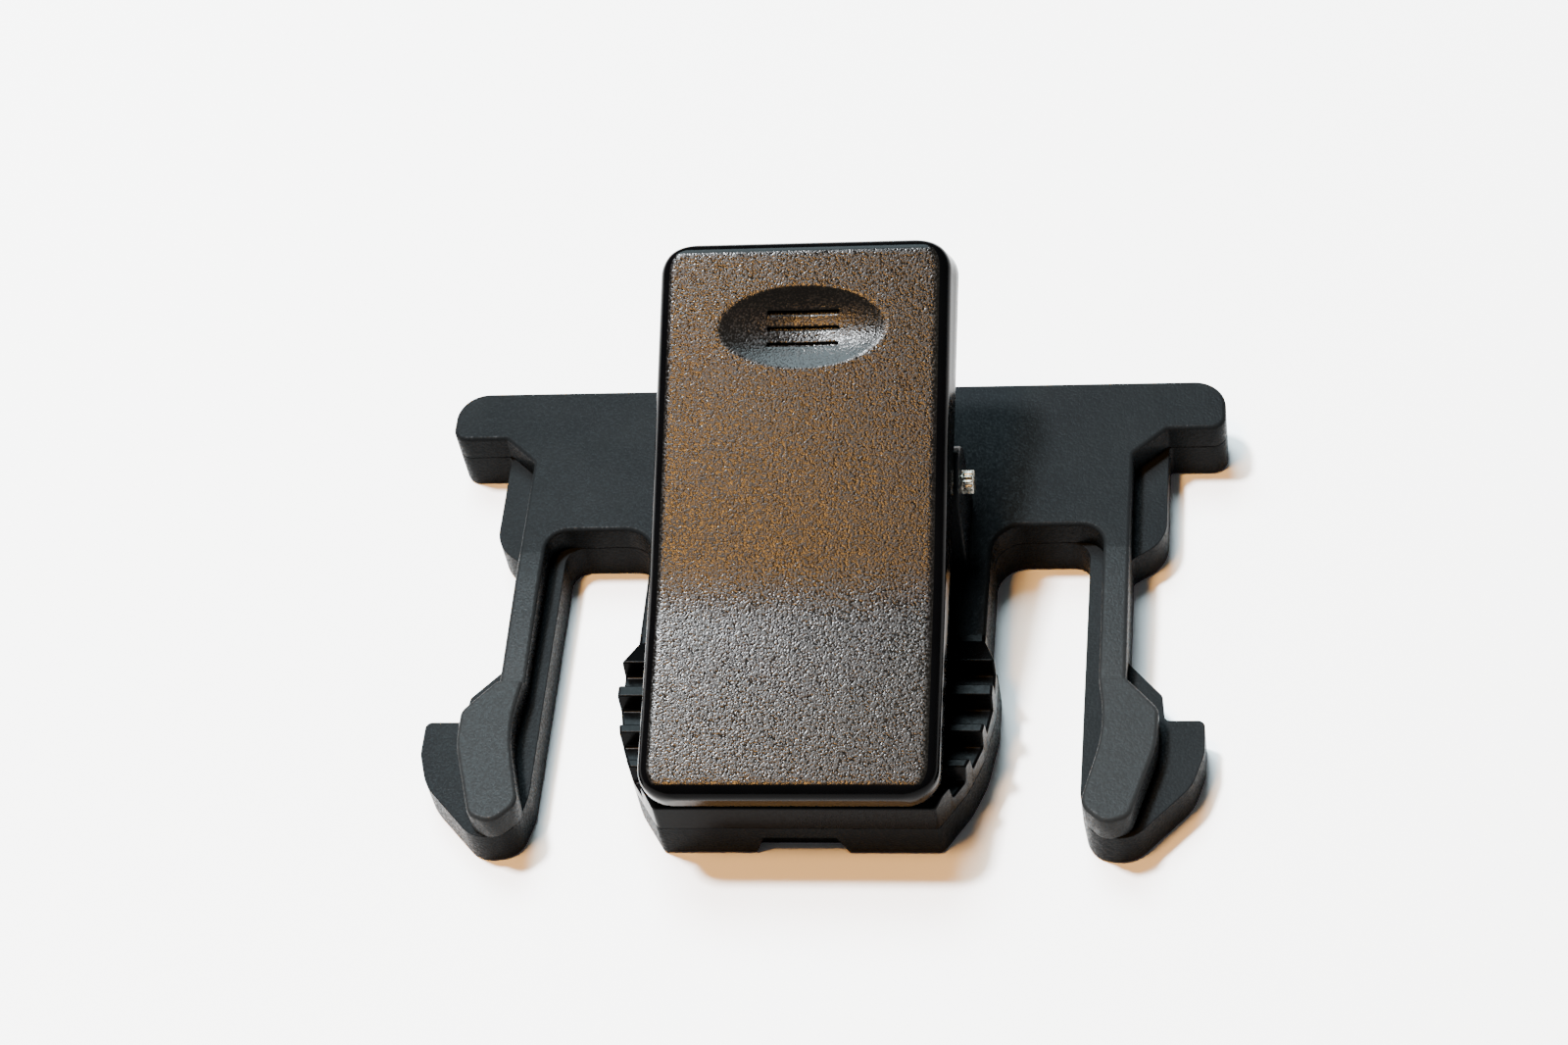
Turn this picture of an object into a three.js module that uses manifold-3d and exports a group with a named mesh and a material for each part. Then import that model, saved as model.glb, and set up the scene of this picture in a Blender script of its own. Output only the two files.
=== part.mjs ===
// A car phone mount's vent clip with a quick-release plug, in millimetres, +Z up.
// It lies on its flat underside: the crossbar is at the back (+Y), and the ridged jaw and the two
// sprung prongs point to the front (-Y). A bent thumb lever turns on a steel pin above the tongue.
import * as THREE from 'three';
import { mergeVertices } from 'three/addons/utils/BufferGeometryUtils.js';
import Module from 'manifold-3d';

const wasm = await Module();
wasm.setup();

// ---- Base moulding ----
const partingHeight = 3.2; // height of the mould parting step: the lower half ends here
const plateHeight = 5.4; // top of the crossbar, plate, tongue and prong ribs
const crossbarHalfWidth = 28.3;
const crossbarBackY = 19.05;
const crossbarFrontY = 14.7;
const crossbarShoulderX = 24.15; // where the chamfer beside each end block starts
const chamferEndY = 12.5;
const webHalfWidth = 24.2; // lower flange beside the rib, behind the prong
const ribOuterX = 21.8;
const ribInnerX = 19.95;
const flangeInnerX = 18.88;
const tongueHalfWidth = 12.15;
const archY = 6.2; // back edge of the open gap between tongue and prong

// ---- Ridged lower jaw ----
const noseStartY = -3.9;
const noseFrontY = -17.64;
const noseFrontHeight = 5.6;
const ridgeHeight = 6.2;
const grooveFloor = 4.7;
const rampEndY = -6.0;
const ridges = [ // back and front edge of each flat-topped ridge
  [-7.97, -8.83],
  [-11.18, -11.83],
  [-14.02, -14.64],
  [-16.3, -16.9],
];
const ridgeDraft = 0.18; // how far each ridge side leans
const notchDepth = 0.9; // recess in the nose's front face

// ---- Prongs ----
const prongHingeX = 20.34; // effective bending centre of each prong
const prongHingeY = 1.5;
const prongRootRadius = 3.0;
const prongGap = 0.1; // running gap between the prong's round root and the base
const ribSlopeStartY = 2.0; // the rib's top slopes down from here to the pad
const ribSlopeEndY = -6.75;
const ribEndHeight = 4.95;

// ---- Pivot ----
const pivotY = 5.26;
const pivotZ = 11.5;
const pinRadius = 0.84;
const lugInnerX = 8.6;
const lugOuterX = 10.6;
const pinLeftX = -lugOuterX; // the plain end is flush with the left lug
const pinRightX = 11.44;
const knurlStartX = lugOuterX + 0.12;
const lugRadius = 2.5;
const knurlTeeth = 14;
const pressClearance = 0.01; // pin in the base lugs
const runningClearance = 0.06; // pin in the lever ears

// ---- Thumb lever ----
const leverHalfWidth = 10.15;
const leverRear = [17.02, 22.4]; // back end of the flat top, as [y, z]
const leverBend = [-4.9, 13.1]; // where the two straight runs would meet
const leverFront = [-17.96, 9.37]; // front end of the flat top
const bendRun = 2.3; // length of each straight run taken by the bend's curve
const leverFillet = 1.0;
const leverCorner = 2.2; // corner radius seen from above
const leverWall = 1.3;
const skirtDepthRear = 2.6;
const skirtDepthFront = 2.1;
const skirtFlare = 0.35; // how far the side walls lean out at the rear; they are upright at the front
const earInnerX = 6.7;
const earOuterX = 8.3;
const earRadius = 2.3;
const gripRibs = [-9.9, -12.9, -15.6];
const gripRibThickness = 0.9;
const gripRibBottom = 6.6;

// ---- Thumb dimple ----
const dimpleFromRear = 5.35; // distance from the rear end of the flat top, along it
const dimpleHalfLength = 5.8;
const dimpleHalfHeight = 2.95;
const dimpleDepth = 0.55;
const thumbGroovePitch = 1.14;
const thumbGrooveLength = 5.0;
const thumbGrooveWidth = 0.3;

// ---- Torsion spring ----
const wireRadius = 0.4;
const coilRadius = 1.75;
const coilTurns = 6;
const coilHalfWidth = 2.9;
const springLegLength = 8.4;

// ---------- Solids ----------

function solidFrom(geometry) {
  const bare = new THREE.BufferGeometry();
  bare.setAttribute('position', geometry.getAttribute('position').clone());
  if (geometry.index) {
    bare.setIndex(geometry.index.clone());
  }
  const merged = mergeVertices(bare, 1e-5);
  const mesh = new wasm.Mesh({
    numProp: 3,
    vertProperties: new Float32Array(merged.getAttribute('position').array),
    triVerts: new Uint32Array(merged.index.array),
  });
  return new wasm.Manifold(mesh);
}

function geometryFrom(solid) {
  const mesh = solid.getMesh();
  const geometry = new THREE.BufferGeometry();
  geometry.setAttribute('position', new THREE.BufferAttribute(new Float32Array(mesh.vertProperties), 3));
  geometry.setIndex(new THREE.BufferAttribute(new Uint32Array(mesh.triVerts), 1));
  const faceted = geometry.toNonIndexed();
  faceted.computeVertexNormals();
  return faceted;
}

// An outline from corners [x, y, radius]: each corner is rounded by its own radius.
function roundedOutline(corners) {
  const points = [];
  corners.forEach(([x, y, radius = 0], i) => {
    const here = new THREE.Vector2(x, y);
    if (radius === 0) {
      points.push(here);
      return;
    }
    const [beforeX, beforeY] = corners[(i + corners.length - 1) % corners.length];
    const [afterX, afterY] = corners[(i + 1) % corners.length];
    const back = new THREE.Vector2(beforeX, beforeY).sub(here).normalize();
    const ahead = new THREE.Vector2(afterX, afterY).sub(here).normalize();
    const halfAngle = Math.acos(THREE.MathUtils.clamp(back.dot(ahead), -1, 1)) / 2;
    const start = here.clone().addScaledVector(back, radius / Math.tan(halfAngle));
    const end = here.clone().addScaledVector(ahead, radius / Math.tan(halfAngle));
    const middle = back.clone().add(ahead).normalize();
    const centre = here.clone().addScaledVector(middle, radius / Math.sin(halfAngle));
    const from = start.clone().sub(centre).angle();
    const turn = Math.atan2(
      Math.sin(end.clone().sub(centre).angle() - from),
      Math.cos(end.clone().sub(centre).angle() - from),
    );
    const steps = Math.max(2, Math.ceil(Math.abs(turn) / (Math.PI / 10)));
    for (let step = 0; step <= steps; step += 1) {
      const angle = from + (turn * step) / steps;
      points.push(new THREE.Vector2(
        centre.x + radius * Math.cos(angle),
        centre.y + radius * Math.sin(angle),
      ));
    }
  });
  return points;
}

// Corners of the right half, from the back centre to the front centre, joined to their mirror image.
function symmetricOutline(rightCorners) {
  const leftCorners = rightCorners.map(([x, y, radius]) => [-x, y, radius]).reverse();
  return roundedOutline([...rightCorners, ...leftCorners]);
}

function slab(points, bottom, top) {
  const geometry = new THREE.ExtrudeGeometry(new THREE.Shape(points), {
    depth: top - bottom,
    bevelEnabled: false,
  });
  geometry.translate(0, 0, bottom);
  return solidFrom(geometry);
}

// A side profile of [y, z] points, extruded along X.
function profileAlongX(points, x0, x1) {
  const geometry = new THREE.ExtrudeGeometry(new THREE.Shape(points), {
    depth: x1 - x0,
    bevelEnabled: false,
  });
  const axes = new THREE.Matrix4().makeBasis(
    new THREE.Vector3(0, 1, 0),
    new THREE.Vector3(0, 0, 1),
    new THREE.Vector3(1, 0, 0),
  );
  geometry.applyMatrix4(axes);
  geometry.translate(x0, 0, 0);
  return solidFrom(geometry);
}

function circlePoints(radius, y, z, segments = 32) {
  return Array.from({ length: segments }, (_, i) => {
    const angle = (2 * Math.PI * i) / segments;
    return new THREE.Vector2(y + radius * Math.cos(angle), z + radius * Math.sin(angle));
  });
}

function box(x0, x1, y0, y1, z0, z1) {
  const geometry = new THREE.BoxGeometry(x1 - x0, y1 - y0, z1 - z0);
  geometry.translate((x0 + x1) / 2, (y0 + y1) / 2, (z0 + z1) / 2);
  return solidFrom(geometry);
}

// A closed skin through rings of equal point counts: rings run from front to rear, and the points
// of each go anticlockwise as seen from the front.
function loft(rings) {
  const count = rings[0].length;
  const positions = rings.flat().flatMap((point) => [point.x, point.y, point.z]);
  const triangles = [];
  for (let ring = 0; ring + 1 < rings.length; ring += 1) {
    for (let i = 0; i < count; i += 1) {
      const a = ring * count + i;
      const b = ring * count + ((i + 1) % count);
      triangles.push(a, b + count, b, a, a + count, b + count);
    }
  }
  const last = (rings.length - 1) * count;
  const cap = THREE.ShapeUtils.triangulateShape(rings[0].map((p) => new THREE.Vector2(p.x, p.z)), []);
  cap.forEach(([a, b, c]) => triangles.push(a, b, c, last + a, last + c, last + b));
  const geometry = new THREE.BufferGeometry();
  geometry.setAttribute('position', new THREE.Float32BufferAttribute(positions, 3));
  geometry.setIndex(triangles);
  return solidFrom(geometry);
}

function joinAll(solids) {
  return solids.reduce((whole, solid) => whole.add(solid));
}

// ---------- Base ----------

const archCorners = [[ribInnerX, archY, 1.6], [tongueHalfWidth, archY, 2.2]];

function baseUpperHalf() {
  return slab(symmetricOutline([
    [crossbarHalfWidth, crossbarBackY, 2.3],
    [crossbarHalfWidth, crossbarFrontY, 1.1],
    [crossbarShoulderX, crossbarFrontY, 0.4],
    [ribOuterX, chamferEndY, 0.4],
    [ribOuterX, prongHingeY, 0],
    [ribInnerX, prongHingeY, 0],
    ...archCorners,
    [tongueHalfWidth, noseStartY - 0.5, 0],
  ]), 0, plateHeight);
}

function baseLowerFlange() {
  return slab(symmetricOutline([
    [webHalfWidth, crossbarFrontY + 1, 0],
    [webHalfWidth, 6.3, 3.0],
    [ribOuterX, 4.7, 0.5],
    [ribOuterX, prongHingeY, 0],
    [flangeInnerX, prongHingeY, 0],
    [flangeInnerX, archY, 1.4],
  ]), 0, partingHeight);
}

function jawNose() {
  const outline = symmetricOutline([
    [tongueHalfWidth, noseStartY + 0.6, 0],
    [tongueHalfWidth, noseStartY, 0.4],
    [12.9, noseStartY - 1.3, 0.8],
    [12.95, -8.6, 4],
    [12.35, -12.3, 6],
    [11.4, -14.8, 6],
    [10.5, -16.2, 2],
    [9.6, noseFrontY, 0.5],
  ]);
  const profile = [[noseStartY + 0.6, 0], [noseStartY + 0.6, plateHeight], [noseStartY, plateHeight]];
  profile.push([rampEndY, ridgeHeight], [rampEndY - ridgeDraft, grooveFloor]);
  ridges.forEach(([back, front]) => {
    profile.push([back + ridgeDraft, grooveFloor], [back, ridgeHeight]);
    profile.push([front, ridgeHeight], [front - ridgeDraft, grooveFloor]);
  });
  profile.splice(profile.length - 1, 1, [noseFrontY, noseFrontHeight], [noseFrontY, 0]);
  const sidePoints = profile.map(([y, z]) => new THREE.Vector2(y, z));
  return slab(outline, 0, ridgeHeight + 1).intersect(profileAlongX(sidePoints.reverse(), -15, 15));
}

function pivotLug() {
  const stem = [
    [pivotY + lugRadius, pivotZ],
    [pivotY - lugRadius, pivotZ],
    [pivotY - lugRadius - 0.8, plateHeight - 0.5],
    [pivotY + lugRadius + 0.8, plateHeight - 0.5],
  ].map(([y, z]) => new THREE.Vector2(y, z));
  return profileAlongX(circlePoints(lugRadius, pivotY, pivotZ), lugInnerX, lugOuterX)
    .add(profileAlongX(stem, lugInnerX, lugOuterX));
}

// The shallow tapered recess at the foot of the nose's front face.
function noseNotch() {
  const section = [[-3.3, -0.1], [3.3, -0.1], [2.5, 2.05], [-2.5, 2.05]];
  const rings = [noseFrontY - 0.1, noseFrontY + notchDepth].map((y) => (
    section.map(([x, z]) => new THREE.Vector3(x, y, z))
  ));
  return loft(rings);
}

function prongRoots(radius) {
  return [-1, 1].map((side) => {
    const root = circlePoints(radius, side * prongHingeX, prongHingeY, 40);
    return slab(root, -1, plateHeight + 1);
  });
}

function makeBase() {
  const lug = pivotLug();
  const pinBore = profileAlongX(circlePoints(pinRadius + pressClearance, pivotY, pivotZ), -15, 15);
  const body = joinAll([baseUpperHalf(), baseLowerFlange(), jawNose(), lug, lug.mirror([1, 0, 0])]);
  return prongRoots(prongRootRadius + prongGap)
    .reduce((whole, root) => whole.subtract(root), body)
    .subtract(pinBore)
    .subtract(noseNotch());
}

// ---------- Prongs ----------

function makeRightProng() {
  const backY = prongHingeY + prongRootRadius + 1;
  const flange = slab(roundedOutline([
    [flangeInnerX, backY, 0],
    [flangeInnerX, -15.0, 4],
    [19.55, -18.05, 1.8],
    [22.4, -18.5, 2.2],
    [26.35, -14.2, 4],
    [27.1, -11.6, 2.5],
    [27.1, -8.93, 0.5],
    [24.4, -8.93, 0.4],
    [24.2, -6.9, 0.6],
    [ribOuterX, -4.2, 0.8],
    [ribOuterX, backY, 0],
  ]), 0, partingHeight);
  const ribAndPad = slab(roundedOutline([
    [ribInnerX, backY, 0],
    [ribInnerX, -6.6, 3],
    [20.5, -10.8, 12],
    [19.0, -17.0, 1.4],
    [20.7, -18.6, 1.3],
    [22.4, -17.95, 1.2],
    [24.05, -12.2, 6],
    [24.1, -9.4, 1.2],
    [ribOuterX, -6.8, 0.8],
    [ribOuterX, backY, 0],
  ]), 0.5, plateHeight);
  const slope = profileAlongX([
    [ribSlopeStartY, plateHeight],
    [ribSlopeStartY, plateHeight + 1],
    [ribSlopeEndY - 0.3, plateHeight + 1],
    [ribSlopeEndY, ribEndHeight],
  ].map(([y, z]) => new THREE.Vector2(y, z)), 15, 30);
  const room = box(15, 30, -25, prongHingeY, -1, plateHeight + 1).add(prongRoots(prongRootRadius)[1]);
  return flange.add(ribAndPad.subtract(slope)).intersect(room);
}

// ---------- Lever ----------

// Points along the flat top from front to rear, each with its slope, as seen from the side.
function leverPath() {
  const front = new THREE.Vector2(...leverFront);
  const bend = new THREE.Vector2(...leverBend);
  const rear = new THREE.Vector2(...leverRear);
  const frontDirection = bend.clone().sub(front).normalize();
  const rearDirection = rear.clone().sub(bend).normalize();
  const curve = new THREE.QuadraticBezierCurve(
    bend.clone().addScaledVector(frontDirection, -bendRun),
    bend,
    bend.clone().addScaledVector(rearDirection, bendRun),
  );
  return { front, rear, frontDirection, rearDirection, curve };
}

// Distances in from an end that step round a quarter circle of the given radius.
function quarterSteps(radius, count) {
  return Array.from({ length: count + 1 }, (_, i) => radius * (1 - Math.cos((Math.PI / 2) * (i / count))));
}

// Stations along the lever: a point on the top line, its direction, and its distance in from the end.
function leverStations(overhang) {
  const { front, rear, frontDirection, rearDirection, curve } = leverPath();
  const steps = quarterSteps(leverCorner, 6);
  const stations = [];
  steps.forEach((inset) => {
    const point = front.clone().addScaledVector(frontDirection, inset - overhang);
    stations.push({ point, direction: frontDirection, inset });
  });
  [0, 0.33, 0.67, 1].forEach((t) => {
    stations.push({ point: curve.getPoint(t), direction: curve.getTangent(t), inset: leverCorner });
  });
  steps.slice().reverse().forEach((inset) => {
    const point = rear.clone().addScaledVector(rearDirection, overhang - inset);
    stations.push({ point, direction: rearDirection, inset });
  });
  return stations;
}

function alongLever(station) {
  const { front, rear } = leverPath();
  return THREE.MathUtils.clamp((station.point.x - front.x) / (rear.x - front.x), 0, 1);
}

// One ring of the lever's outer skin: a rounded-top section that narrows round the plan corners.
function leverOuterRing(station) {
  const { point, direction, inset } = station;
  const reach = Math.min(inset, leverCorner);
  const narrowing = leverCorner - Math.sqrt(leverCorner ** 2 - (leverCorner - reach) ** 2);
  const edge = Math.min(inset, leverFillet);
  const drop = leverFillet - Math.sqrt(leverFillet ** 2 - (leverFillet - edge) ** 2);
  const halfWidth = leverHalfWidth - narrowing;
  const along = alongLever(station);
  const depth = THREE.MathUtils.lerp(skirtDepthFront, skirtDepthRear, along);
  const section = [[halfWidth + skirtFlare * along, -depth]];
  for (let i = 0; i <= 4; i += 1) {
    const angle = (Math.PI / 2) * (i / 4);
    const across = halfWidth - leverFillet * (1 - Math.cos(angle));
    section.push([across, -drop - (leverFillet - drop * 0.5) * (1 - Math.sin(angle))]);
  }
  const mirrored = section.map(([across, height]) => [-across, height]).reverse();
  return [...section, ...mirrored].map(([across, height]) => new THREE.Vector3(
    across,
    point.x - height * direction.y,
    point.y + height * direction.x,
  ));
}

// One ring of the hollow under the lever.
function leverInnerRing({ point, direction }) {
  const halfWidth = leverHalfWidth - leverWall;
  const section = [[halfWidth, -6], [halfWidth, -leverWall], [-halfWidth, -leverWall], [-halfWidth, -6]];
  return section.map(([across, height]) => new THREE.Vector3(
    across,
    point.x - height * direction.y,
    point.y + height * direction.x,
  ));
}

function leverHollow() {
  const { front, rear, frontDirection, rearDirection, curve } = leverPath();
  const endInset = leverWall - leverFillet;
  const stations = [
    { point: front.clone().addScaledVector(frontDirection, endInset), direction: frontDirection },
    ...[0, 0.33, 0.67, 1].map((t) => ({ point: curve.getPoint(t), direction: curve.getTangent(t) })),
    { point: rear.clone().addScaledVector(rearDirection, -endInset), direction: rearDirection },
  ];
  return loft(stations.map(leverInnerRing));
}

// The two ears that hang from the lever's underside and turn on the pin.
function leverEar() {
  const { rear, rearDirection } = leverPath();
  const along = (y) => rear.clone().addScaledVector(rearDirection, (y - rear.x) / rearDirection.x);
  const rootFront = along(pivotY - 4.5);
  const rootBack = along(pivotY + 4.5);
  const cheek = [
    [pivotY - earRadius, pivotZ],
    [pivotY + earRadius, pivotZ],
    [rootBack.x, rootBack.y - 0.9],
    [rootFront.x, rootFront.y - 0.9],
  ].map(([y, z]) => new THREE.Vector2(y, z));
  return profileAlongX(circlePoints(earRadius, pivotY, pivotZ), earInnerX, earOuterX)
    .add(profileAlongX(cheek, earInnerX, earOuterX));
}

// Cross ribs under the front of the lever: the upper jaw's teeth, over the grooves of the lower jaw.
function leverGripRib(y) {
  const { front, frontDirection } = leverPath();
  const top = front.clone().addScaledVector(frontDirection, (y - front.x) / frontDirection.x);
  const halfLength = leverHalfWidth - leverWall + 0.3;
  const points = roundedOutline([
    [y - gripRibThickness / 2, top.y - 0.9, 0],
    [y - gripRibThickness / 2, gripRibBottom, 0.3],
    [y + gripRibThickness / 2, gripRibBottom, 0.3],
    [y + gripRibThickness / 2, top.y - 0.9, 0],
  ]);
  return profileAlongX(points, -halfLength, halfLength);
}

// A frame on the lever's flat top: x across, y along it to the rear, z out of it.
function dimpleFrame() {
  const { rear, rearDirection } = leverPath();
  const centre = rear.clone().addScaledVector(rearDirection, -dimpleFromRear);
  const frame = new THREE.Matrix4().makeBasis(
    new THREE.Vector3(1, 0, 0),
    new THREE.Vector3(0, rearDirection.x, rearDirection.y),
    new THREE.Vector3(0, -rearDirection.y, rearDirection.x),
  );
  return frame.setPosition(0, centre.x, centre.y);
}

function thumbDimple() {
  const ratio = dimpleHalfHeight / dimpleHalfLength;
  const ballRadius = (dimpleHalfLength ** 2 + dimpleDepth ** 2) / (2 * dimpleDepth);
  const bowl = new THREE.SphereGeometry(ballRadius, 96, 72);
  bowl.rotateX(Math.PI / 2);
  bowl.scale(1, ratio, 1);
  bowl.translate(0, 0, ballRadius - dimpleDepth);
  bowl.applyMatrix4(dimpleFrame());
  return solidFrom(bowl);
}

function thumbGrooves() {
  return [-1, 0, 1].map((row) => {
    const groove = new THREE.BoxGeometry(thumbGrooveLength, thumbGrooveWidth, 1);
    groove.translate(0, row * thumbGroovePitch, -dimpleDepth * 0.4 - 0.25);
    groove.applyMatrix4(dimpleFrame());
    return solidFrom(groove);
  });
}

function makeLever() {
  const shell = loft(leverStations(leverFillet).map(leverOuterRing));
  const ear = leverEar();
  const bore = profileAlongX(circlePoints(pinRadius + runningClearance, pivotY, pivotZ), -15, 15);
  const body = joinAll([
    shell.subtract(leverHollow()),
    ear,
    ear.mirror([1, 0, 0]),
    ...gripRibs.map(leverGripRib),
  ]);
  return [bore, thumbDimple(), ...thumbGrooves()].reduce((whole, cut) => whole.subtract(cut), body);
}

// ---------- Pin and spring ----------

function makePin() {
  const shank = profileAlongX(circlePoints(pinRadius, pivotY, pivotZ), pinLeftX, knurlStartX);
  const teeth = Array.from({ length: knurlTeeth * 2 }, (_, i) => {
    const radius = i % 2 === 0 ? pinRadius : pinRadius - 0.1;
    const angle = (Math.PI * i) / knurlTeeth;
    return new THREE.Vector2(pivotY + radius * Math.cos(angle), pivotZ + radius * Math.sin(angle));
  });
  return shank.add(profileAlongX(teeth, knurlStartX - 0.02, pinRightX));
}

// The wire's centre line: a leg that rests on the tongue, the coil, then a leg under the lever.
function springPath() {
  const { rearDirection } = leverPath();
  const upperLeg = Math.atan2(rearDirection.y, rearDirection.x) + 0.24;
  const lowerLeg = -0.52;
  const startAngle = lowerLeg - Math.PI / 2;
  const endAngle = startAngle + Math.PI * 2 * coilTurns + (upperLeg - lowerLeg) + Math.PI;
  return { upperLeg, lowerLeg, startAngle, endAngle };
}

function springPoints() {
  const { upperLeg, lowerLeg, startAngle, endAngle } = springPath();
  const onCoil = (angle, x) => new THREE.Vector3(
    x,
    pivotY + coilRadius * Math.cos(angle),
    pivotZ + coilRadius * Math.sin(angle),
  );
  const leg = (from, angle, distance) => from.clone().add(
    new THREE.Vector3(0, Math.cos(angle) * distance, Math.sin(angle) * distance),
  );
  const first = onCoil(startAngle, coilHalfWidth);
  const last = onCoil(endAngle, -coilHalfWidth);
  const points = [leg(first, lowerLeg, springLegLength), leg(first, lowerLeg, springLegLength / 2)];
  const steps = Math.round((endAngle - startAngle) / (Math.PI / 8));
  for (let i = 0; i <= steps; i += 1) {
    const t = i / steps;
    points.push(onCoil(
      THREE.MathUtils.lerp(startAngle, endAngle, t),
      THREE.MathUtils.lerp(coilHalfWidth, -coilHalfWidth, t),
    ));
  }
  points.push(leg(last, upperLeg, springLegLength / 2), leg(last, upperLeg, springLegLength));
  return points;
}

function makeSpring() {
  const path = new THREE.CatmullRomCurve3(springPoints(), false, 'centripetal');
  const section = new THREE.Shape(circlePoints(wireRadius, 0, 0, 8));
  const wire = new THREE.ExtrudeGeometry(section, { steps: 170, bevelEnabled: false, extrudePath: path });
  return solidFrom(wire);
}

// ---------- Assembly ----------

const blackPlastic = { color: 0x232529, roughness: 0.55, metalness: 0 };
const leverPlastic = { color: 0x2c2b2a, roughness: 0.48, metalness: 0 };
const platedSteel = { color: 0xb5b1a6, roughness: 0.3, metalness: 1 };
const springSteel = { color: 0x8c8b88, roughness: 0.35, metalness: 1 };

const assembly = new THREE.Group();
assembly.name = 'car_phone_mount';

function addPiece(name, solid, finish) {
  const mesh = new THREE.Mesh(geometryFrom(solid), new THREE.MeshStandardMaterial(finish));
  mesh.name = name;
  assembly.add(mesh);
}

const rightProng = makeRightProng();
addPiece('base', makeBase(), blackPlastic);
addPiece('prong_right', rightProng, blackPlastic);
addPiece('prong_left', rightProng.mirror([1, 0, 0]), blackPlastic);
addPiece('lever', makeLever(), leverPlastic);
addPiece('pivot_pin', makePin(), platedSteel);
addPiece('torsion_spring', makeSpring(), springSteel);

export default assembly;
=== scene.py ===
"""Looks for the car phone mount's vent clip: detailed meshes, materials, light and camera.

Lengths below are in millimetres in the part's own frame: +Z up, the plug prongs and jaw at -Y.
"""

import math

import bmesh
import bpy
from mathutils import Matrix, Vector


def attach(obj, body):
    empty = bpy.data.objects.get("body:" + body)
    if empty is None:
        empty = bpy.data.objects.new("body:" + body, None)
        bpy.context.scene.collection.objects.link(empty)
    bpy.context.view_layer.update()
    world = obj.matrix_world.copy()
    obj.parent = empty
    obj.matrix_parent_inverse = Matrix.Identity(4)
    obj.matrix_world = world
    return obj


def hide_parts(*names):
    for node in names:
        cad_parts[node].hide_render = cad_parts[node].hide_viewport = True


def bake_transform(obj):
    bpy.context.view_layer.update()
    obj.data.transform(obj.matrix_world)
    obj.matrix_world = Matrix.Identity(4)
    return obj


MM = 0.001

# Base moulding
PARTING = 3.2
PLATE_TOP = 5.4
CROSSBAR_HALF = 28.3
CROSSBAR_BACK = 19.05
CROSSBAR_FRONT = 14.7
SHOULDER_X = 24.15
CHAMFER_END_Y = 12.5
WEB_HALF = 24.2
RIB_OUTER = 21.8
RIB_INNER = 19.95
FLANGE_INNER = 18.88
TONGUE_HALF = 12.15
ARCH_Y = 6.2
RIM_RADIUS = 0.3
PARTING_CHAMFER = 0.07

# Where each prong's own mesh starts
ARM_SEAM_Y = 4.2

# The rib's top slopes down to the pad
RIB_SLOPE_START_Y = 2.0
RIB_SLOPE_END_Y = -6.75
RIB_END_HEIGHT = 4.95

# Ridged jaw
NOSE_START = -3.9
NOSE_FRONT = -17.64
NOSE_FRONT_TOP = 5.6
RIDGE_TOP = 6.2
GROOVE_FLOOR = 4.7
RAMP_END = -6.0
RIDGES = [(-7.97, -8.83), (-11.18, -11.83), (-14.02, -14.64), (-16.3, -16.9)]
RIDGE_DRAFT = 0.18
NOTCH_DEPTH = 0.9
NOTCH_HEIGHT = 2.05
NOTCH_FOOT_HALF = 3.3
NOTCH_TOP_HALF = 2.5

# Pivot
PIVOT_Y = 5.26
PIVOT_Z = 11.5
PIN_RADIUS = 0.84
PIN_LEFT = -10.65
PIN_RIGHT = 11.44
KNURL_START = 10.72
KNURL_TEETH = 14
KNURL_DEPTH = 0.1
LUG_INNER = 8.6
LUG_OUTER = 10.6
LUG_RADIUS = 2.5
LUG_FOOT_SPREAD = 0.8
EAR_INNER = 6.7
EAR_OUTER = 8.3
EAR_RADIUS = 2.3
EAR_ROOT_HALF = 4.5

# Lever: ends and bend of its flat top, as (y, z)
LEVER_HALF = 10.15
LEVER_REAR = Vector((17.02, 22.4))
LEVER_BEND = Vector((-4.9, 13.1))
LEVER_FRONT = Vector((-17.96, 9.37))
BEND_RUN = 2.3
LEVER_FILLET = 1.0
LEVER_CORNER = 2.2
LEVER_WALL = 1.3
SKIRT_REAR = 2.6
SKIRT_FRONT = 2.1
SKIRT_FLARE = 0.35
GRIP_RIBS = [-9.9, -12.9, -15.6]
GRIP_RIB_THICKNESS = 0.9
GRIP_RIB_BOTTOM = 6.6
ROOT_DEPTH = 0.9  # from the top line down to where ears and grip ribs start, inside the wall

# Thumb dimple, measured along the flat top from its rear end; its rim is eased outside the oval
DIMPLE_FROM_REAR = 5.35
DIMPLE_HALF_LENGTH = 5.8
DIMPLE_HALF_HEIGHT = 2.95
DIMPLE_DEPTH = 0.55
DIMPLE_RIM_REACH = 1.08
DIMPLE_RIM_EASE = 0.14
GROOVE_PITCH = 1.14
GROOVE_LENGTH = 5.0
GROOVE_WIDTH = 0.34
GROOVE_DEPTH = 0.3

# Spring
WIRE_RADIUS = 0.4
COIL_RADIUS = 1.75
COIL_TURNS = 6
COIL_HALF_WIDTH = 2.9
SPRING_LEG = 8.4
LOWER_LEG_ANGLE = -0.52
UPPER_LEG_TURN = 0.24  # from the lever's rear run


# ---------- Mesh helpers ----------

def smooth_step(value, low, high):
    t = min(1.0, max(0.0, (value - low) / (high - low)))
    return t * t * (3 - 2 * t)


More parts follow.
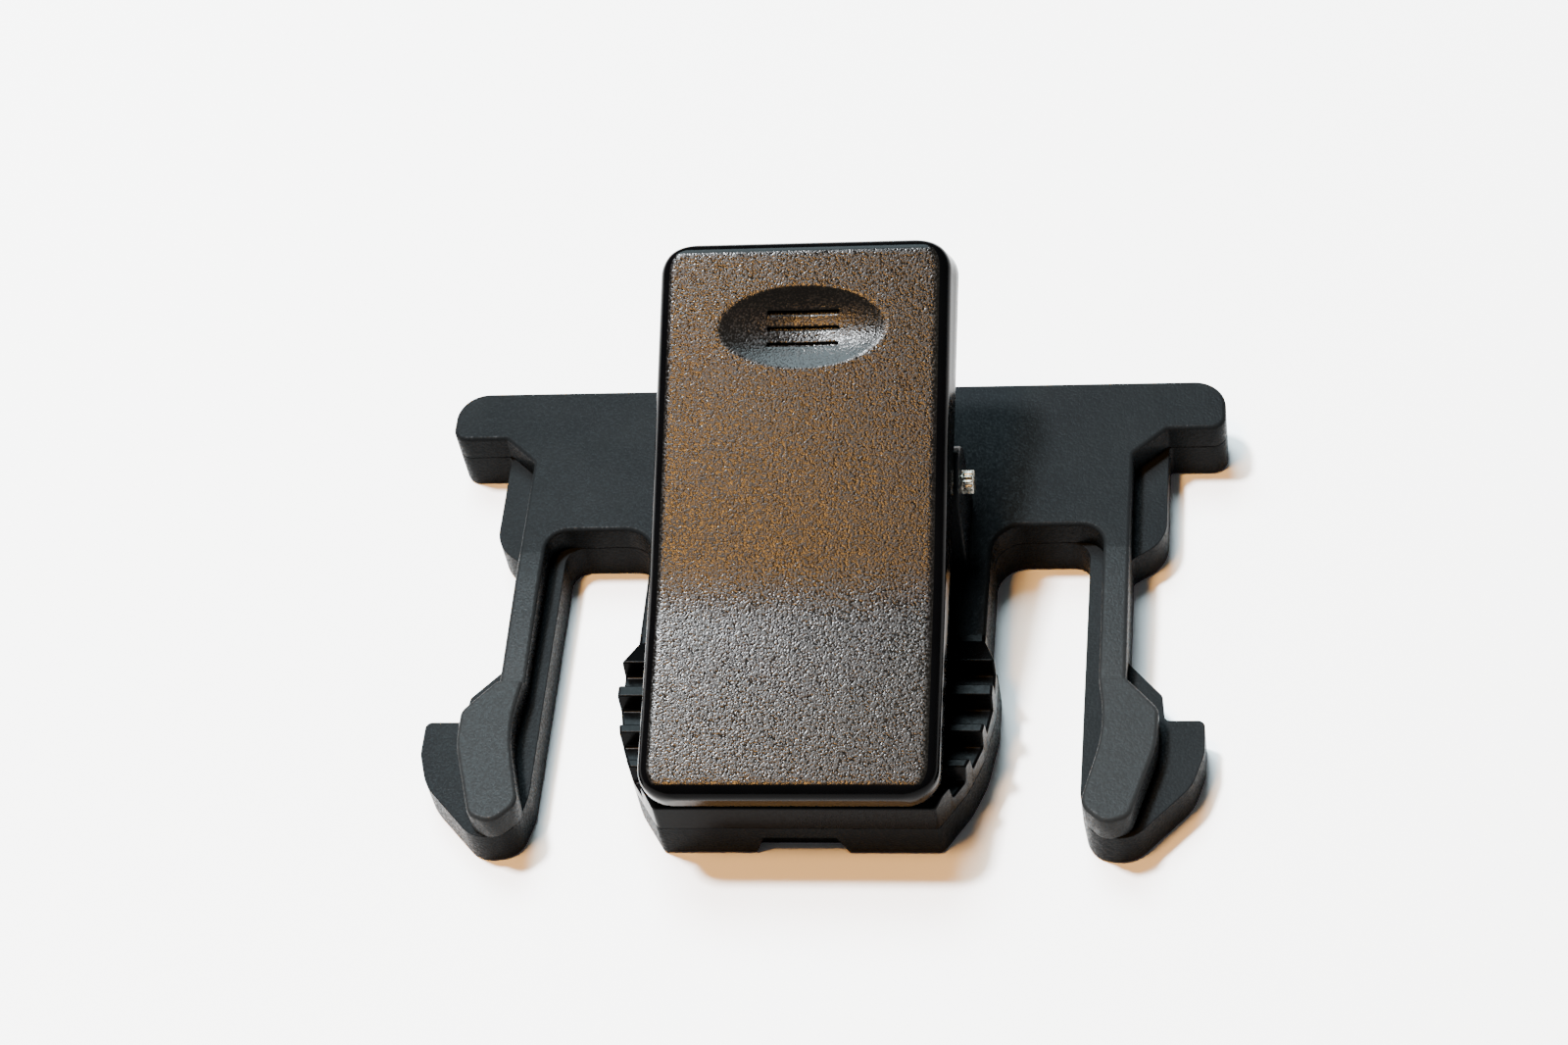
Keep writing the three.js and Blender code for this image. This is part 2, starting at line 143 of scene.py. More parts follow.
def rounded_outline(corners, step=math.radians(7)):
    """Points round a closed outline whose corners are (x, y, radius)."""
    points = []
    for i, (x, y, radius) in enumerate(corners):
        here = Vector((x, y))
        if radius == 0:
            points.append(here)
            continue
        back = (Vector(corners[i - 1][:2]) - here).normalized()
        ahead = (Vector(corners[(i + 1) % len(corners)][:2]) - here).normalized()
        half = back.angle(ahead) / 2
        centre = here + (back + ahead).normalized() * (radius / math.sin(half))
        start = here + back * (radius / math.tan(half)) - centre
        end = here + ahead * (radius / math.tan(half)) - centre
        first = math.atan2(start.y, start.x)
        turn = math.atan2(end.y, end.x) - first
        turn = math.atan2(math.sin(turn), math.cos(turn))
        steps = max(3, math.ceil(abs(turn) / step))
        for k in range(steps + 1):
            angle = first + turn * k / steps
            points.append(centre + radius * Vector((math.cos(angle), math.sin(angle))))
    return points


def symmetric(right_corners):
    """Right-hand corners, from back to front, joined to their mirror image."""
    left = [(-x, y, radius) for x, y, radius in reversed(right_corners)]
    return right_corners + left


def split_long_edges(points, longest):
    """The same outline with points added so that no edge is longer than the given length."""
    result = []
    for i, here in enumerate(points):
        ahead = points[(i + 1) % len(points)]
        pieces = max(1, math.ceil((ahead - here).length / longest))
        result += [here.lerp(ahead, k / pieces) for k in range(pieces)]
    return result


def anticlockwise(points):
    area = sum(
        a.x * b.y - b.x * a.y for a, b in zip(points, points[1:] + points[:1])
    )
    return points if area > 0 else list(reversed(points))


def inset_outline(points, distance, is_open):
    """Moves each edge inwards by distance, except open edges, which stay in line."""
    count = len(points)
    moved = []
    for i, here in enumerate(points):
        before, ahead = points[i - 1], points[(i + 1) % count]
        along_1 = (here - before).normalized()
        along_2 = (ahead - here).normalized()
        inward_1 = Vector((-along_1.y, along_1.x))
        inward_2 = Vector((-along_2.y, along_2.x))
        shift_1 = 0 if is_open(before, here) else distance
        shift_2 = 0 if is_open(here, ahead) else distance
        turn = inward_1.x * inward_2.y - inward_1.y * inward_2.x
        if abs(turn) < 1e-4:
            moved.append(here + inward_1 * max(shift_1, shift_2))
            continue
        x = (shift_1 * inward_2.y - shift_2 * inward_1.y) / turn
        y = (shift_2 * inward_1.x - shift_1 * inward_2.x) / turn
        moved.append(here + Vector((x, y)))
    return moved


def rim(bottom, top, bottom_radius, top_radius, steps=4):
    """(height, inset) pairs up a slab's wall, with both rims rounded."""
    angles = [math.pi / 2 * k / steps for k in range(steps + 1)]
    rings = [
        (bottom + bottom_radius * (1 - math.sin(angle)), bottom_radius * (1 - math.cos(angle)))
        for angle in reversed(angles)
    ]
    rings += [
        (top - top_radius * (1 - math.sin(angle)), top_radius * (1 - math.cos(angle)))
        for angle in angles
    ]
    return rings


def never(_a, _b):
    return False


def slab(points, rings, is_open=never):
    """A plate with the given outline and wall rings, closed top and bottom."""
    points = anticlockwise(points)
    bm = bmesh.new()
    levels = [
        [bm.verts.new((p.x, p.y, z)) for p in inset_outline(points, inset, is_open)]
        for z, inset in rings
    ]
    count = len(points)
    for low, high in zip(levels, levels[1:]):
        for i in range(count):
            j = (i + 1) % count
            bm.faces.new((low[i], low[j], high[j], high[i]))
    bm.faces.new(list(reversed(levels[0])))
    bm.faces.new(levels[-1])
    return bm


def loft(sections):
    """A closed skin through sections of equal point counts, with flat ends."""
    bm = bmesh.new()
    rings = [[bm.verts.new(p) for p in section] for section in sections]
    count = len(rings[0])
    for near, far in zip(rings, rings[1:]):
        for i in range(count):
            j = (i + 1) % count
            bm.faces.new((near[i], far[i], far[j], near[j]))
    bm.faces.new(rings[0])
    bm.faces.new(list(reversed(rings[-1])))
    return bm


def turn_to_x(bm):
    """Stands a slab drawn in (y, z) on its side, so that it runs along X."""
    swap = Matrix(((0, 0, 1, 0), (1, 0, 0, 0), (0, 1, 0, 0), (0, 0, 0, 1)))
    bmesh.ops.transform(bm, matrix=swap, verts=bm.verts)
    return bm


def mirrored_x(bm):
    copy = bm.copy()
    bmesh.ops.scale(copy, vec=(-1, 1, 1), verts=copy.verts)
    bmesh.ops.reverse_faces(copy, faces=copy.faces)
    return copy


def open_seam(bm, y):
    """Removes the faces that close a mesh at the seam plane."""
    faces = [f for f in bm.faces if all(abs(v.co.y - y) < 1e-5 for v in f.verts)]
    bmesh.ops.delete(bm, geom=faces, context="FACES_ONLY")
    return bm


def make_object(name, parts, materials, smooth_angle=32):
    """One object from (bmesh, material index) parts, scaled from millimetres to metres.

    An index of None keeps the material indices that the part's faces already have.
    """
    mesh = bpy.data.meshes.new(name)
    whole = bmesh.new()
    for bm, index in parts:
        if index is not None:
            for face in bm.faces:
                face.material_index = index
        piece = bpy.data.meshes.new("piece")
        bm.to_mesh(piece)
        whole.from_mesh(piece)
        bpy.data.meshes.remove(piece)
        bm.free()
    bmesh.ops.scale(whole, vec=(MM, MM, MM), verts=whole.verts)
    for face in whole.faces:
        face.smooth = True
    whole.to_mesh(mesh)
    whole.free()
    mesh.set_sharp_from_angle(angle=math.radians(smooth_angle))
    for material in materials:
        mesh.materials.append(material)
    obj = bpy.data.objects.new(name, mesh)
    bpy.context.scene.collection.objects.link(obj)
    weighted = obj.modifiers.new("weighted", "WEIGHTED_NORMAL")
    weighted.keep_sharp = True
    weighted.weight = 100
    return obj


def cut(bm, tool_bm):
    """The first mesh less the second."""
    objects = []
    for name, source in (("cut_body", bm), ("cut_tool", tool_bm)):
        mesh = bpy.data.meshes.new(name)
        source.to_mesh(mesh)
        source.free()
        obj = bpy.data.objects.new(name, mesh)
        bpy.context.scene.collection.objects.link(obj)
        objects.append(obj)
    body, tool = objects
    modifier = body.modifiers.new("cut", "BOOLEAN")
    modifier.operation = "DIFFERENCE"
    modifier.solver = "EXACT"
    modifier.object = tool
    evaluated = body.evaluated_get(bpy.context.evaluated_depsgraph_get())
    result = bmesh.new()
    result.from_mesh(evaluated.to_mesh())
    evaluated.to_mesh_clear()
    for obj in objects:
        mesh = obj.data
        bpy.data.objects.remove(obj)
        bpy.data.meshes.remove(mesh)
    return result


# ---------- Materials ----------

class Nodes:
    """A short way to write a material's node tree."""

    def __init__(self, name):
        self.material = bpy.data.materials.new(name)
        self.material.use_nodes = True
        self.tree = self.material.node_tree
        self.tree.nodes.clear()
        self.shader = self.add("ShaderNodeBsdfPrincipled")
        output = self.add("ShaderNodeOutputMaterial")
        self.link(self.shader.outputs["BSDF"], output.inputs["Surface"])
        self.position = self.add("ShaderNodeTexCoord").outputs["Object"]

    def add(self, kind):
        return self.tree.nodes.new(kind)

    def link(self, source, target):
        self.tree.links.new(source, target)

    def noise(self, scale, detail=2.0, roughness=0.5, distortion=0.0):
        node = self.add("ShaderNodeTexNoise")
        node.inputs["Scale"].default_value = scale
        node.inputs["Detail"].default_value = detail
        node.inputs["Roughness"].default_value = roughness
        node.inputs["Distortion"].default_value = distortion
        self.link(self.position, node.inputs["Vector"])
        return node.outputs["Fac"]

    def ranged(self, value, low, high, to_low, to_high):
        node = self.add("ShaderNodeMapRange")
        node.inputs["From Min"].default_value = low
        node.inputs["From Max"].default_value = high
        node.inputs["To Min"].default_value = to_low
        node.inputs["To Max"].default_value = to_high
        self.link(value, node.inputs["Value"])
        return node.outputs["Result"]

    def math(self, operation, a, b):
        node = self.add("ShaderNodeMath")
        node.operation = operation
        for socket, value in zip(node.inputs, (a, b)):
            if isinstance(value, (int, float)):
                socket.default_value = value
            else:
                self.link(value, socket)
        return node.outputs[0]

    def mix(self, factor, a, b):
        node = self.add("ShaderNodeMix")
        node.data_type = "RGBA"
        self.link(factor, node.inputs["Factor"])
        for socket, colour in ((node.inputs["A"], a), (node.inputs["B"], b)):
            if isinstance(colour, tuple):
                socket.default_value = (*colour, 1)
            else:
                self.link(colour, socket)
        return node.outputs["Result"]

    def bump(self, height, strength, distance):
        node = self.add("ShaderNodeBump")
        node.inputs["Strength"].default_value = strength
        node.inputs["Distance"].default_value = distance
        self.link(height, node.inputs["Height"])
        return node.outputs["Normal"]


def plastic(name, dark, light, roughness, grain, grain_depth, shine, speckle, front_colour=None):
    """Moulded black plastic: spark-eroded grain, faint blotches and slightly polished patches.

    With a front colour, the plastic turns paler towards the front.
    """
    n = Nodes(name)
    blotch = n.noise(90, 3, 0.6)
    fine = n.noise(grain, 1, 0.5)
    coarse = n.noise(grain * 0.45, 1, 0.5)
    colour = n.mix(n.ranged(blotch, 0.35, 0.65, 0, 1), dark, light)
    if front_colour is not None:
        split = n.add("ShaderNodeSeparateXYZ")
        n.link(n.position, split.inputs["Vector"])
        towards_front = n.ranged(split.outputs["Y"], 0.005, -0.006, 0, 0.9)
        front_share = n.math("ADD", towards_front, n.ranged(blotch, 0.3, 0.7, -0.1, 0.1))
        colour = n.mix(front_share, colour, front_colour)
    n.link(colour, n.shader.inputs["Base Color"])
    polish = n.ranged(n.noise(55, 2, 0.5), 0.3, 0.7, -0.04, 0.04)
    speck = n.ranged(fine, 0.35, 0.65, -speckle, speckle)
    rough = n.math("ADD", n.math("ADD", polish, speck), roughness)
    n.link(n.math("MAXIMUM", rough, 0.08), n.shader.inputs["Roughness"])
    height = n.math("ADD", n.math("MULTIPLY", fine, 0.7), n.math("MULTIPLY", coarse, 0.3))
    n.link(n.bump(height, 1.0, grain_depth), n.shader.inputs["Normal"])
    n.shader.inputs["Specular IOR Level"].default_value = shine
    return n.material


def steel(name, colour, dull, roughness, scratch):
    """Plated or drawn steel: fine streaks and slight tarnish."""
    n = Nodes(name)
    stain = n.noise(700, 3, 0.6)
    streak = n.noise(6000, 2, 0.6, 0.4)
    n.link(n.mix(n.ranged(stain, 0.35, 0.7, 0, 1), colour, dull), n.shader.inputs["Base Color"])
    n.shader.inputs["Metallic"].default_value = 1.0
    n.link(n.ranged(streak, 0.3, 0.7, roughness - 0.08, roughness + 0.12), n.shader.inputs["Roughness"])
    n.link(n.bump(streak, 0.6, scratch), n.shader.inputs["Normal"])
    return n.material


BASE_DARK = (0.0037, 0.0042, 0.0046)
BASE_LIGHT = (0.0051, 0.0057, 0.0061)
BASE_PLASTIC = plastic("base_plastic", BASE_DARK, BASE_LIGHT, 0.42, 6000, 0.00004, 0.012, 0.14)
PAD_PLASTIC = plastic(
    "pad_plastic", BASE_DARK, BASE_LIGHT, 0.38, 6000, 0.00004, 0.02, 0.14, (0.0092, 0.0098, 0.0101)
)
JAW_PLASTIC = plastic(
    "jaw_plastic", (0.0008, 0.0009, 0.0010), (0.0013, 0.0014, 0.0015), 0.22, 3000, 0.000005, 0.017, 0.05
)
LEVER_TOP = plastic(
    "lever_top", (0.0020, 0.0018, 0.0016), (0.0030, 0.0027, 0.0023), 0.22, 6600, 0.000027, 0.057, 0.18
)
LEVER_GLOSS = plastic(
    "lever_gloss", (0.0006, 0.0006, 0.0007), (0.0010, 0.0010, 0.0011), 0.16, 2500, 0.000004, 0.024, 0.03
)
PIN_STEEL = steel("pin_steel", (0.34, 0.33, 0.28), (0.16, 0.15, 0.13), 0.3, 0.000008)
SPRING_STEEL = steel("spring_steel", (0.32, 0.31, 0.3), (0.18, 0.17, 0.16), 0.34, 0.00001)


# ---------- Base moulding ----------

ARCH = [(RIB_INNER, ARCH_Y, 1.6), (TONGUE_HALF, ARCH_Y, 2.2)]
NOSE_PLAN = [
    (TONGUE_HALF, NOSE_START, 0.4),
    (12.9, NOSE_START - 1.3, 0.8),
    (12.95, -8.6, 4),
    (12.35, -12.3, 6),
    (11.4, -14.8, 6),
    (10.5, -16.2, 2),
    (9.6, NOSE_FRONT, 0.5),
]
TONGUE_SEAM_Y = NOSE_START + 0.6


def on_arm_seam(a, b):
    return abs(a.y - ARM_SEAM_Y) < 1e-5 and abs(b.y - ARM_SEAM_Y) < 1e-5


def on_any_seam(a, b):
    on_tongue_seam = abs(a.y - TONGUE_SEAM_Y) < 1e-5 and abs(b.y - TONGUE_SEAM_Y) < 1e-5
    return on_arm_seam(a, b) or on_tongue_seam


def base_lower():
    """The lower half: crossbar, webs, tongue and nose, up to the parting line."""
    outline = symmetric([
        (CROSSBAR_HALF, CROSSBAR_BACK, 2.3),
        (CROSSBAR_HALF, CROSSBAR_FRONT, 1.1),
        (WEB_HALF, CROSSBAR_FRONT, 0.3),
        (WEB_HALF, 6.3, 3.0),
        (RIB_OUTER, 4.7, 0.5),
        (RIB_OUTER, ARM_SEAM_Y, 0),
        (FLANGE_INNER, ARM_SEAM_Y, 0),
        (FLANGE_INNER, ARCH_Y, 1.4),
        (TONGUE_HALF, ARCH_Y, 2.2),
        *NOSE_PLAN,
    ])
    body = slab(rounded_outline(outline), rim(0, PARTING, RIM_RADIUS, PARTING_CHAMFER), on_arm_seam)
    notch_section = (
        (-NOTCH_FOOT_HALF, -0.1),
        (NOTCH_FOOT_HALF, -0.1),
        (NOTCH_TOP_HALF, NOTCH_HEIGHT),
        (-NOTCH_TOP_HALF, NOTCH_HEIGHT),
    )
    notch = loft([
        [Vector((x, y, z)) for x, z in notch_section]
        for y in (NOSE_FRONT - 0.1, NOSE_FRONT + NOTCH_DEPTH)
    ])
    return open_seam(cut(body, notch), ARM_SEAM_Y)


def base_upper():
    """The upper half: crossbar, plate, tongue and the ribs' roots, above the parting line."""
    outline = symmetric([
        (CROSSBAR_HALF, CROSSBAR_BACK, 2.3),
        (CROSSBAR_HALF, CROSSBAR_FRONT, 1.1),
        (SHOULDER_X, CROSSBAR_FRONT, 0.4),
        (RIB_OUTER, CHAMFER_END_Y, 0.4),
        (RIB_OUTER, ARM_SEAM_Y, 0),
        (RIB_INNER, ARM_SEAM_Y, 0),
        *ARCH,
        (TONGUE_HALF, TONGUE_SEAM_Y, 0),
    ])
    rings = rim(PARTING, PLATE_TOP, PARTING_CHAMFER, RIM_RADIUS)
    body = slab(rounded_outline(outline), rings, on_any_seam)
    return open_seam(open_seam(body, ARM_SEAM_Y), TONGUE_SEAM_Y)


def nose_half_width(y):
    """Half the nose's width at y, from its plan outline."""
    outline = rounded_outline(symmetric([(TONGUE_HALF, TONGUE_SEAM_Y, 0), *NOSE_PLAN]))
    right = [p for p in outline if p.x > 0]
    for a, b in zip(right, right[1:]):
        if b.y - 1e-9 <= y <= a.y + 1e-9 and a.y - b.y > 1e-9:
            return a.x + (b.x - a.x) * (a.y - y) / (a.y - b.y)
    return right[-1].x


def ridge_profile():
    """The nose's top line from the tongue to the front, as rounded (y, z) points."""
    corners = [(TONGUE_SEAM_Y, PLATE_TOP, 0), (NOSE_START, PLATE_TOP, 0.6), (RAMP_END, RIDGE_TOP, 0.12)]
    corners.append((RAMP_END - RIDGE_DRAFT, GROOVE_FLOOR, 0.25))
    for back, front in RIDGES:
        corners.append((back + RIDGE_DRAFT, GROOVE_FLOOR, 0.25))
        corners.append((back, RIDGE_TOP, 0.12))
        corners.append((front, RIDGE_TOP, 0.12))
        corners.append((front - RIDGE_DRAFT, GROOVE_FLOOR, 0.25))
    corners[-1] = (NOSE_FRONT, NOSE_FRONT_TOP, 0.3)
    corners.append((NOSE_FRONT - 0.001, PARTING, 0))
    return rounded_outline(corners + [(TONGUE_SEAM_Y, PARTING, 0)], math.radians(20))[:-1]


def nose_upper():
    """The ridged nose above the parting line, as sections from the tongue to the front."""
    sections = []
    for point in ridge_profile():
        y, top = point.x, point.y
        if top < PARTING + 0.6:
            continue
        half = nose_half_width(y)
        right = []
        top_radius = RIM_RADIUS if y > NOSE_START else 0.2
        for height, inset in rim(PARTING, top, PARTING_CHAMFER, top_radius):
            right.append(Vector((half - inset, y, height)))
        left = [Vector((-p.x, p.y, p.z)) for p in reversed(right)]
        sections.append(right + left)
    sections.reverse()
    return open_seam(loft(sections), TONGUE_SEAM_Y)


def pivot_arc(radius, start):
    """Half a circle round the pivot, from the start angle, as (y, z) points."""
    angles = [start + math.pi * k / 12 for k in range(13)]
    return [Vector((PIVOT_Y + radius * math.cos(a), PIVOT_Z + radius * math.sin(a))) for a in angles]


def pivot_lug():
    foot = LUG_RADIUS + LUG_FOOT_SPREAD
    outline = pivot_arc(LUG_RADIUS, 0)
    outline += [Vector((y, PLATE_TOP - 0.5)) for y in (PIVOT_Y - foot, PIVOT_Y + foot)]
    return turn_to_x(slab(outline, rim(LUG_INNER, LUG_OUTER, 0.2, 0.2)))


def make_base():
    lug = pivot_lug()
    parts = [(base_lower(), 0), (base_upper(), 0), (nose_upper(), 1), (mirrored_x(lug), 0), (lug, 0)]
    base = make_object("base_moulding", parts, [BASE_PLASTIC, JAW_PLASTIC])
    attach(base, "base")
    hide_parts("base")
    return base


# ---------- Prongs ----------

FLANGE_PLAN = [
    (FLANGE_INNER, ARM_SEAM_Y, 0),
    (FLANGE_INNER, -15.0, 4),
    (19.55, -18.05, 1.8),
    (22.4, -18.5, 2.2),
    (26.35, -14.2, 4),
    (27.1, -11.6, 2.5),
    (27.1, -8.93, 0.5),
    (24.4, -8.93, 0.4),
    (24.2, -6.9, 0.6),
    (RIB_OUTER, -4.2, 0.8),
    (RIB_OUTER, ARM_SEAM_Y, 0),
]
PAD_PLAN = [
    (RIB_INNER, ARM_SEAM_Y, 0),
    (RIB_INNER, -6.6, 3),
    (20.5, -10.8, 12),
    (19.0, -17.0, 1.4),
    (20.7, -18.6, 1.3),
    (22.4, -17.95, 1.2),
    (24.05, -12.2, 6),
    (24.1, -9.4, 1.2),
    (RIB_OUTER, -6.8, 0.8),
    (RIB_OUTER, ARM_SEAM_Y, 0),
]


def rib_top(y):
    """Height of the rib and the pad at y: the rib slopes down, then steps up to the pad."""
    if y > RIB_SLOPE_START_Y:
        return PLATE_TOP
    share = (RIB_SLOPE_START_Y - y) / (RIB_SLOPE_START_Y - RIB_SLOPE_END_Y)
    slope = PLATE_TOP + (RIB_END_HEIGHT - PLATE_TOP) * min(1, share)
    return slope + (PLATE_TOP - slope) * smooth_step(RIB_SLOPE_END_Y - y, 0, 0.3)


def rib_and_pad():
    """The rib and the finger pad above the parting line, with the rib's sloping top."""
    pad = split_long_edges(rounded_outline(PAD_PLAN), 0.5)
    bm = slab(pad, rim(PARTING, PLATE_TOP, PARTING_CHAMFER, RIM_RADIUS), on_arm_seam)
    stations = [RIB_SLOPE_START_Y - k for k in range(9)]
    stations += [RIB_SLOPE_END_Y - 0.05 * k for k in range(7)]
    for y in stations:
        whole = [*bm.verts, *bm.edges, *bm.faces]
        bmesh.ops.bisect_plane(bm, geom=whole, dist=1e-5, plane_co=(0, y, 0), plane_no=(0, 1, 0))
    for vertex in bm.verts:
        share = (vertex.co.z - PARTING) / (PLATE_TOP - PARTING)
        vertex.co.z += (rib_top(vertex.co.y) - PLATE_TOP) * share
    return bm


def make_prong(side):
    flange = split_long_edges(rounded_outline(FLANGE_PLAN), 0.5)
    flange_bm = slab(flange, rim(0, PARTING, RIM_RADIUS, PARTING_CHAMFER), on_arm_seam)
    parts = []
    for index, bm in enumerate((flange_bm, rib_and_pad())):
        open_seam(bm, ARM_SEAM_Y)
        if side == "left":
            mirror = mirrored_x(bm)
            bm.free()
            bm = mirror
        parts.append((bm, index))
    prong = make_object(f"prong_{side}_moulding", parts, [BASE_PLASTIC, PAD_PLASTIC])
    body = f"prong_{side}"
    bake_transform(prong)
    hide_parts(body)
    return prong


# ---------- Lever ----------

FRONT_RUN = (LEVER_BEND - LEVER_FRONT).normalized()
REAR_RUN = (LEVER_REAR - LEVER_BEND).normalized()


def lever_line():
    """Stations from front to rear: point on the top line, direction, distance in from the end."""
    stations = []
    ends = [LEVER_CORNER * (1 - math.cos(math.pi / 2 * k / 12)) for k in range(13)]
    for inset in ends:
        stations.append((LEVER_FRONT + FRONT_RUN * (inset - LEVER_FILLET), FRONT_RUN, inset))
    bend_start = LEVER_BEND - FRONT_RUN * BEND_RUN
    bend_end = LEVER_BEND + REAR_RUN * BEND_RUN
    first = stations[-1][0]
    steps = 20
    for k in range(1, steps):
        stations.append((first.lerp(bend_start, k / steps), FRONT_RUN, LEVER_CORNER))
    for k in range(13):
        t = k / 12
        point = bend_start * (1 - t) ** 2 + LEVER_BEND * (2 * t * (1 - t)) + bend_end * t ** 2
        along = ((LEVER_BEND - bend_start) * (1 - t) + (bend_end - LEVER_BEND) * t).normalized()
        stations.append((point, along, LEVER_CORNER))
    for distance in rear_run_distances((LEVER_REAR - bend_end).length):
        stations.append((LEVER_REAR - REAR_RUN * distance, REAR_RUN, LEVER_CORNER))
    for inset in reversed(ends):
        stations.append((LEVER_REAR + REAR_RUN * (LEVER_FILLET - inset), REAR_RUN, inset))
    return stations


def rear_run_distances(length):
    """Distances from the rear end, falling, with close steps over the dimple and its grooves."""
    distances = set()
    coarse = 0.8
    distance = LEVER_CORNER - LEVER_FILLET + 0.25
    while distance < length - 0.2:
        distances.add(round(distance, 3))
        inside = abs(distance - DIMPLE_FROM_REAR) < DIMPLE_HALF_HEIGHT + 0.3
        distance += 0.12 if inside else coarse
    for row in (-1, 0, 1):
        middle = DIMPLE_FROM_REAR + row * GROOVE_PITCH
        for offset in (-0.5, -0.42, 0, 0.42, 0.5):
            distances.add(round(middle + offset * GROOVE_WIDTH, 3))
    return sorted(distances, reverse=True)


def dimple_depth(x, from_rear):
    """How far the thumb dimple and its grooves sink below the flat top."""
    u = x / DIMPLE_HALF_LENGTH
    v = (from_rear - DIMPLE_FROM_REAR) / DIMPLE_HALF_HEIGHT
    reach = math.hypot(u, v)
    if reach > DIMPLE_RIM_REACH:
        return 0
    depth = DIMPLE_DEPTH * (1 - min(1, reach) ** 2)
    depth *= smooth_step(DIMPLE_RIM_REACH - reach, 0, DIMPLE_RIM_EASE)
    for row in (-1, 0, 1):
        away = abs(from_rear - DIMPLE_FROM_REAR - row * GROOVE_PITCH)
        end = abs(x) - (GROOVE_LENGTH / 2 - GROOVE_WIDTH / 2)
        away = math.hypot(away, max(0, end))
        depth += GROOVE_DEPTH * (1 - smooth_step(away, 0.36 * GROOVE_WIDTH, 0.52 * GROOVE_WIDTH))
    return depth


def across_fractions():
    """Where the top's lengthwise mesh lines lie, as fractions of the flat half width."""
    flat = LEVER_HALF - LEVER_FILLET
    places = {0.0, 1.0}
    x = 0.25
    while x < flat - 0.1:
        places.add(x / flat)
        x += 0.25 if x < DIMPLE_HALF_LENGTH + 0.5 else 0.6
    for extra in (-0.34, -0.17, -0.06, 0, 0.06):
        places.add((GROOVE_LENGTH / 2 + extra) / flat)
    return sorted(places, reverse=True)


ACROSS = across_fractions()


def lever_section(station):
    """One section of the lever's outer skin, anticlockwise as seen from the front."""
    point, along, inset = station
    reach = min(inset, LEVER_CORNER)
    narrowing = LEVER_CORNER - math.sqrt(max(0, LEVER_CORNER ** 2 - (LEVER_CORNER - reach) ** 2))
    edge = min(inset, LEVER_FILLET)
    drop = LEVER_FILLET - math.sqrt(max(0, LEVER_FILLET ** 2 - (LEVER_FILLET - edge) ** 2))
    half = LEVER_HALF - narrowing
    share = min(1, max(0, (point.x - LEVER_FRONT.x) / (LEVER_REAR.x - LEVER_FRONT.x)))
    depth = SKIRT_FRONT + (SKIRT_REAR - SKIRT_FRONT) * share
    foot = half + SKIRT_FLARE * share
    wall_top = -drop - (LEVER_FILLET - drop * 0.5)
    right = [(foot - 0.15, -depth), (foot - 0.05, -depth + 0.04)]
    right.append((foot + (half - foot) * 0.15 / (depth + wall_top), -depth + 0.15))
    right.append(((half + foot) / 2, (wall_top - depth) / 2))
    for k in range(7):
        angle = math.pi / 2 * k / 6
        across = half - LEVER_FILLET * (1 - math.cos(angle))
        right.append((across, -drop - (LEVER_FILLET - drop * 0.5) * (1 - math.sin(angle))))
    flat = half - LEVER_FILLET
    from_rear = (LEVER_REAR - point).length
    for fraction in ACROSS[1:]:
        x = flat * fraction
        right.append((x, -drop - dimple_depth(x, from_rear)))
    left = [(-x, z) for x, z in reversed(right[:-1])]
    return [
        Vector((x, point.x - height * along.y, point.y + height * along.x))
        for x, height in right + left
    ]


def lever_shell():
    outer = loft([lever_section(station) for station in lever_line()])
    half = LEVER_HALF - LEVER_WALL
    hollow_stations = [(LEVER_FRONT + FRONT_RUN * (LEVER_WALL - LEVER_FILLET), FRONT_RUN)]
    hollow_stations += [(p, d) for p, d, _ in lever_line() if abs(p.x - LEVER_BEND.x) < BEND_RUN]
    hollow_stations.append((LEVER_REAR - REAR_RUN * (LEVER_WALL - LEVER_FILLET), REAR_RUN))
    hollow = loft([
        [
            Vector((x, p.x - height * d.y, p.y + height * d.x))
            for x, height in ((half, -6), (half, -LEVER_WALL), (-half, -LEVER_WALL), (-half, -6))
        ]
        for p, d in hollow_stations
    ])
    return cut(outer, hollow)


def top_line_at(y):
    """Height of the lever's flat top line at y."""
    start, run = (LEVER_REAR, REAR_RUN) if y > LEVER_BEND.x else (LEVER_FRONT, FRONT_RUN)
    return start.y + run.y * (y - start.x) / run.x


def lever_ear():
    outline = pivot_arc(EAR_RADIUS, math.pi)
    for y in (PIVOT_Y + EAR_ROOT_HALF, PIVOT_Y - EAR_ROOT_HALF):
        outline.append(Vector((y, top_line_at(y) - ROOT_DEPTH)))
    return turn_to_x(slab(outline, rim(EAR_INNER, EAR_OUTER, 0.15, 0.15)))


def grip_rib(y):
    top = top_line_at(y) - ROOT_DEPTH
    half = GRIP_RIB_THICKNESS / 2
    corners = [
        (y - half, top, 0),
        (y - half, GRIP_RIB_BOTTOM, 0.3),
        (y + half, GRIP_RIB_BOTTOM, 0.3),
        (y + half, top, 0),
    ]
    reach = LEVER_HALF - LEVER_WALL + 0.3
    return turn_to_x(slab(rounded_outline(corners), rim(-reach, reach, 0.1, 0.1)))


